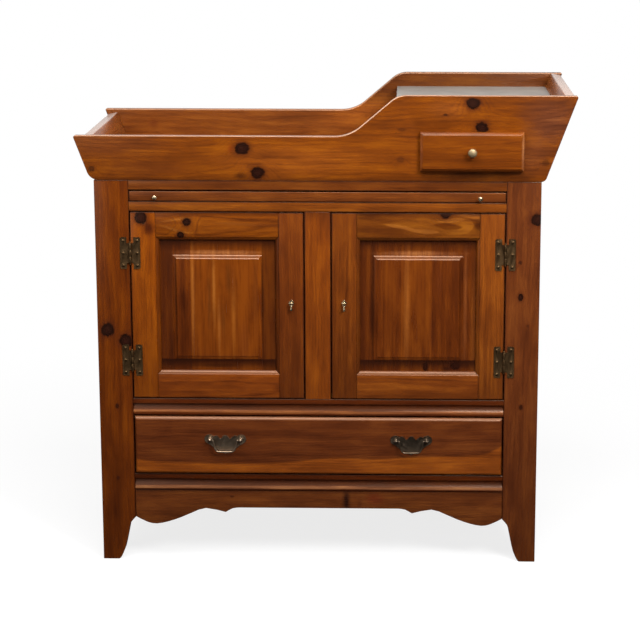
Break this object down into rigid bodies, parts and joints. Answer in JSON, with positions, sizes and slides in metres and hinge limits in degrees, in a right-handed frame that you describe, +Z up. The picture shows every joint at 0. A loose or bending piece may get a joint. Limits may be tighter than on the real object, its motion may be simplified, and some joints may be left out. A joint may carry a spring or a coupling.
{
  "type": "dry sink cabinet",
  "caption": "Low cupboard with two raised-panel doors, a wide drawer and a pull-out board under an open trough with sloping ends, a raised tray and a small drawer",
  "frame": {"origin": "on the floor, under the middle of the whole outline", "axes": "X across the front with the tray and the small drawer at +X, Y from the front to the back, Z up"},
  "size_m": [1.219, 0.5612, 1.18],
  "materials": {
    "stained_pine": "knotty pine in a warm brown stain under satin varnish",
    "inside_pine": "plain sanded pine inside the case",
    "plywood": "thin plywood, unfinished",
    "grey_laminate": "smooth grey laminate with a soft sheen",
    "antique_bronze": "darkened antique finish with rubbed edges",
    "pale_brass": "polished pale brass"
  },
  "bodies": {
    "case": {"left_front_stile": "stained_pine", "right_front_stile": "stained_pine", "top_rail": "stained_pine", "slide_rail": "stained_pine", "centre_stile": "stained_pine", "middle_rail": "stained_pine", "bottom_rail": "stained_pine", "apron": "stained_pine", "left_side_panel": "stained_pine", "right_side_panel": "stained_pine", "back_panel": "plywood", "cupboard_floor": "inside_pine", "cupboard_shelf": "inside_pine", "drawer_web_frame": "inside_pine", "left_slide_runner": "inside_pine", "right_slide_runner": "inside_pine", "trough_front": "stained_pine", "trough_back": "stained_pine", "trough_left_end": "stained_pine", "trough_right_end": "stained_pine", "trough_floor": "stained_pine", "tray_deck": "grey_laminate", "tray_divider": "stained_pine", "small_drawer_guide": "inside_pine", "left_upper_hinge_frame_leaf": "antique_bronze", "left_lower_hinge_frame_leaf": "antique_bronze", "right_upper_hinge_frame_leaf": "antique_bronze", "right_lower_hinge_frame_leaf": "antique_bronze"},
    "left_door": {"left_door_hinge_stile": "stained_pine", "left_door_lock_stile": "stained_pine", "left_door_top_rail": "stained_pine", "left_door_bottom_rail": "stained_pine", "left_door_panel": "stained_pine", "left_door_pull_plate": "pale_brass", "left_upper_hinge_door_leaf": "antique_bronze", "left_lower_hinge_door_leaf": "antique_bronze"},
    "right_door": {"right_door_hinge_stile": "stained_pine", "right_door_lock_stile": "stained_pine", "right_door_top_rail": "stained_pine", "right_door_bottom_rail": "stained_pine", "right_door_panel": "stained_pine", "right_door_pull_plate": "pale_brass", "right_upper_hinge_door_leaf": "antique_bronze", "right_lower_hinge_door_leaf": "antique_bronze"},
    "left_door_drop": {"left_door_pull_drop": "pale_brass"},
    "right_door_drop": {"right_door_pull_drop": "pale_brass"},
    "pull_out_board": {"slide_board": "stained_pine", "left_slide_knob": "pale_brass", "right_slide_knob": "pale_brass"},
    "large_drawer": {"large_drawer_front": "stained_pine", "large_drawer_box": "inside_pine", "large_drawer_bottom": "plywood", "left_drawer_pull_plate": "antique_bronze", "right_drawer_pull_plate": "antique_bronze"},
    "left_bail": {"left_drawer_bail": "antique_bronze"},
    "right_bail": {"right_drawer_bail": "antique_bronze"},
    "small_drawer": {"small_drawer_front": "stained_pine", "small_drawer_box": "inside_pine", "small_drawer_knob": "pale_brass"}
  },
  "joints": [
    {"name": "left_door_swing", "type": "hinge", "parent": "case", "child": "left_door", "pos_m": [-0.47749, -0.24385, 0.655], "axis": [0, 0, -1], "range_deg": [0, 170]},
    {"name": "right_door_swing", "type": "hinge", "parent": "case", "child": "right_door", "pos_m": [0.44031, -0.24385, 0.655], "axis": [0, 0, 1], "range_deg": [0, 170]},
    {"name": "left_drop_swing", "type": "hinge", "parent": "left_door", "child": "left_door_drop", "pos_m": [-0.0833, -0.24955, 0.6677], "axis": [-1, 0, 0], "range_deg": [0, 60]},
    {"name": "right_drop_swing", "type": "hinge", "parent": "right_door", "child": "right_door_drop", "pos_m": [0.0461, -0.24955, 0.6677], "axis": [-1, 0, 0], "range_deg": [0, 60]},
    {"name": "board_slide", "type": "slide", "parent": "case", "child": "pull_out_board", "axis": [0, -1, 0], "range_m": [0, 0.3]},
    {"name": "large_drawer_slide", "type": "slide", "parent": "case", "child": "large_drawer", "axis": [0, -1, 0], "range_m": [0, 0.33]},
    {"name": "left_bail_swing", "type": "hinge", "parent": "large_drawer", "child": "left_bail", "pos_m": [-0.25009, -0.25745, 0.319], "axis": [-1, 0, 0], "range_deg": [0, 85]},
    {"name": "right_bail_swing", "type": "hinge", "parent": "large_drawer", "child": "right_bail", "pos_m": [0.21291, -0.25745, 0.319], "axis": [-1, 0, 0], "range_deg": [0, 85]},
    {"name": "small_drawer_slide", "type": "slide", "parent": "case", "child": "small_drawer", "axis": [0, -1, 0], "range_m": [0, 0.3]}
  ]
}
